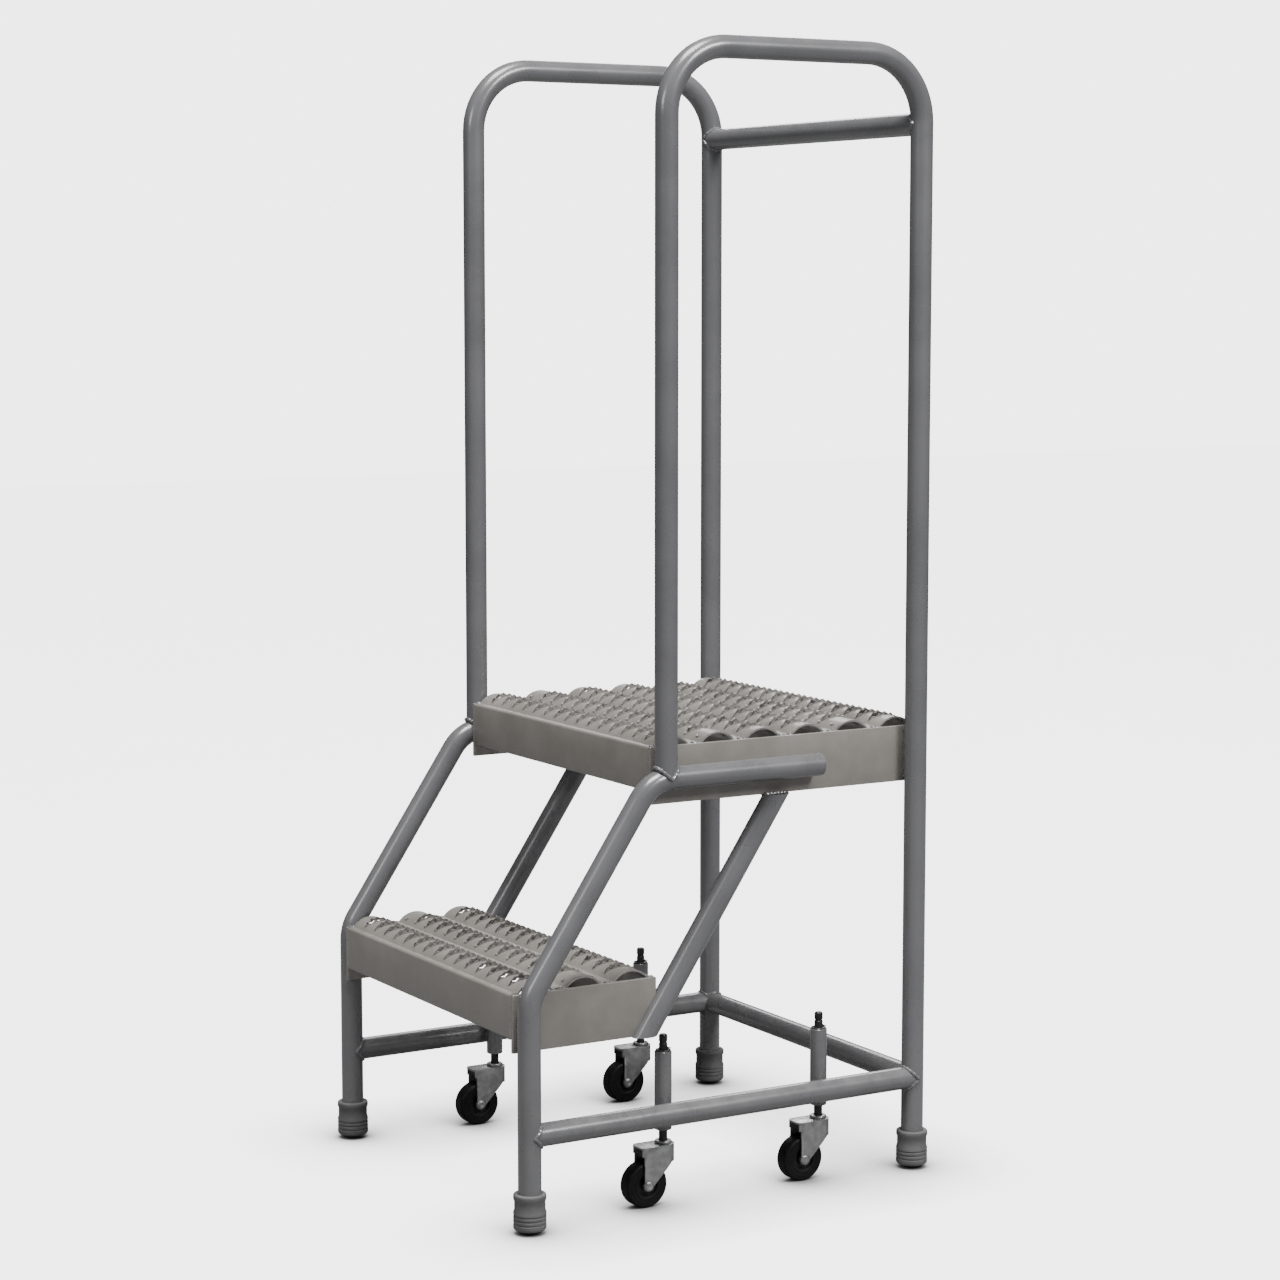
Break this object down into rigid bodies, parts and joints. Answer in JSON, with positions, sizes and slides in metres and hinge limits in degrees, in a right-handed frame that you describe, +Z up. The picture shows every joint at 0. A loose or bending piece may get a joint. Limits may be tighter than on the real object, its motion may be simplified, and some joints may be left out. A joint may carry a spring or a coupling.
{
  "type": "rolling step stand with handrails",
  "caption": "Rolling step stand: bent tube frame with handrails, arched perforated treads, rubber-tipped legs and retracting spring-loaded swivel casters.",
  "frame": {"origin": "on the floor under the lowered wheels, at the middle of the object's box in plan, halfway between the front and rear legs", "axes": "+Z up; the user climbs from the front, which faces -Y; +X is to the user's right when facing +Y"},
  "size_m": [0.4774, 0.536, 1.274],
  "materials": {
    "tube_paint": "satin grey enamel",
    "tread_paint": "warm grey enamel",
    "tip_rubber": "matte grey rubber",
    "zinc": "zinc plated",
    "dark_steel": "oiled dark steel",
    "wheel_core": "moulded black",
    "wheel_rubber": "hard black rubber"
  },
  "bodies": {
    "frame": {"stringer_right": "tube_paint", "stringer_left": "tube_paint", "handrail_right": "tube_paint", "handrail_left": "tube_paint", "base_rail_right": "tube_paint", "base_rail_left": "tube_paint", "brace_right": "tube_paint", "brace_left": "tube_paint", "step_side_plate_right": "tread_paint", "step_side_plate_left": "tread_paint", "platform_side_plate_right": "tread_paint", "platform_side_plate_left": "tread_paint", "base_crossbar": "tube_paint", "upper_crossbar": "tube_paint", "step_plank": "tread_paint", "platform_front_plank": "tread_paint", "platform_rear_plank": "tread_paint", "sleeve_guides": "zinc", "sleeve_welds": "tube_paint", "rubber_tip_front_right": "tip_rubber", "rubber_tip_front_left": "tip_rubber", "rubber_tip_rear_right": "tip_rubber", "rubber_tip_rear_left": "tip_rubber", "caster_sleeve_front_right": "tube_paint", "caster_sleeve_front_left": "tube_paint", "caster_sleeve_rear_right": "tube_paint", "caster_sleeve_rear_left": "tube_paint", "caster_spring_front_right": "dark_steel", "caster_spring_front_left": "dark_steel", "caster_spring_rear_right": "dark_steel", "caster_spring_rear_left": "dark_steel"},
    "stem_front_right": {"caster_stem_front_right": "dark_steel", "caster_clip_front_right": "dark_steel", "caster_race_front_right": "zinc"},
    "fork_front_right": {"caster_fork_front_right": "zinc", "caster_axle_front_right": "zinc"},
    "wheel_front_right": {"caster_hub_front_right": "wheel_core", "caster_tyre_front_right": "wheel_rubber"},
    "stem_front_left": {"caster_stem_front_left": "dark_steel", "caster_clip_front_left": "dark_steel", "caster_race_front_left": "zinc"},
    "fork_front_left": {"caster_fork_front_left": "zinc", "caster_axle_front_left": "zinc"},
    "wheel_front_left": {"caster_hub_front_left": "wheel_core", "caster_tyre_front_left": "wheel_rubber"},
    "stem_rear_right": {"caster_stem_rear_right": "dark_steel", "caster_clip_rear_right": "dark_steel", "caster_race_rear_right": "zinc"},
    "fork_rear_right": {"caster_fork_rear_right": "zinc", "caster_axle_rear_right": "zinc"},
    "wheel_rear_right": {"caster_hub_rear_right": "wheel_core", "caster_tyre_rear_right": "wheel_rubber"},
    "stem_rear_left": {"caster_stem_rear_left": "dark_steel", "caster_clip_rear_left": "dark_steel", "caster_race_rear_left": "zinc"},
    "fork_rear_left": {"caster_fork_rear_left": "zinc", "caster_axle_rear_left": "zinc"},
    "wheel_rear_left": {"caster_hub_rear_left": "wheel_core", "caster_tyre_rear_left": "wheel_rubber"}
  },
  "joints": [
    {"name": "caster_lift_front_right", "type": "slide", "parent": "frame", "child": "stem_front_right", "axis": [0, 0, 1], "range_m": [0, 0.01], "stiffness_N_per_m": 5000, "springref_m": -0.012, "deforming": ["caster_spring_front_right"]},
    {"name": "caster_swivel_front_right", "type": "hinge", "parent": "stem_front_right", "child": "fork_front_right", "pos_m": [0.19844, -0.0705, 0.0685], "axis": [0, 0, 1], "continuous": true},
    {"name": "wheel_spin_front_right", "type": "hinge", "parent": "fork_front_right", "child": "wheel_front_right", "pos_m": [0.19844, -0.0955, 0.0254], "axis": [1, 0, 0], "continuous": true},
    {"name": "caster_lift_front_left", "type": "slide", "parent": "frame", "child": "stem_front_left", "axis": [0, 0, 1], "range_m": [0, 0.01], "stiffness_N_per_m": 5000, "springref_m": -0.012, "deforming": ["caster_spring_front_left"]},
    {"name": "caster_swivel_front_left", "type": "hinge", "parent": "stem_front_left", "child": "fork_front_left", "pos_m": [-0.19844, -0.0705, 0.0685], "axis": [0, 0, 1], "continuous": true},
    {"name": "wheel_spin_front_left", "type": "hinge", "parent": "fork_front_left", "child": "wheel_front_left", "pos_m": [-0.19844, -0.0955, 0.0254], "axis": [1, 0, 0], "continuous": true},
    {"name": "caster_lift_rear_right", "type": "slide", "parent": "frame", "child": "stem_rear_right", "axis": [0, 0, 1], "range_m": [0, 0.01], "stiffness_N_per_m": 5000, "springref_m": -0.012, "deforming": ["caster_spring_rear_right"]},
    {"name": "caster_swivel_rear_right", "type": "hinge", "parent": "stem_rear_right", "child": "fork_rear_right", "pos_m": [0.19844, 0.135, 0.0685], "axis": [0, 0, 1], "continuous": true},
    {"name": "wheel_spin_rear_right", "type": "hinge", "parent": "fork_rear_right", "child": "wheel_rear_right", "pos_m": [0.19844, 0.11, 0.0254], "axis": [1, 0, 0], "continuous": true},
    {"name": "caster_lift_rear_left", "type": "slide", "parent": "frame", "child": "stem_rear_left", "axis": [0, 0, 1], "range_m": [0, 0.01], "stiffness_N_per_m": 5000, "springref_m": -0.012, "deforming": ["caster_spring_rear_left"]},
    {"name": "caster_swivel_rear_left", "type": "hinge", "parent": "stem_rear_left", "child": "fork_rear_left", "pos_m": [-0.19844, 0.135, 0.0685], "axis": [0, 0, 1], "continuous": true},
    {"name": "wheel_spin_rear_left", "type": "hinge", "parent": "fork_rear_left", "child": "wheel_rear_left", "pos_m": [-0.19844, 0.11, 0.0254], "axis": [1, 0, 0], "continuous": true}
  ]
}
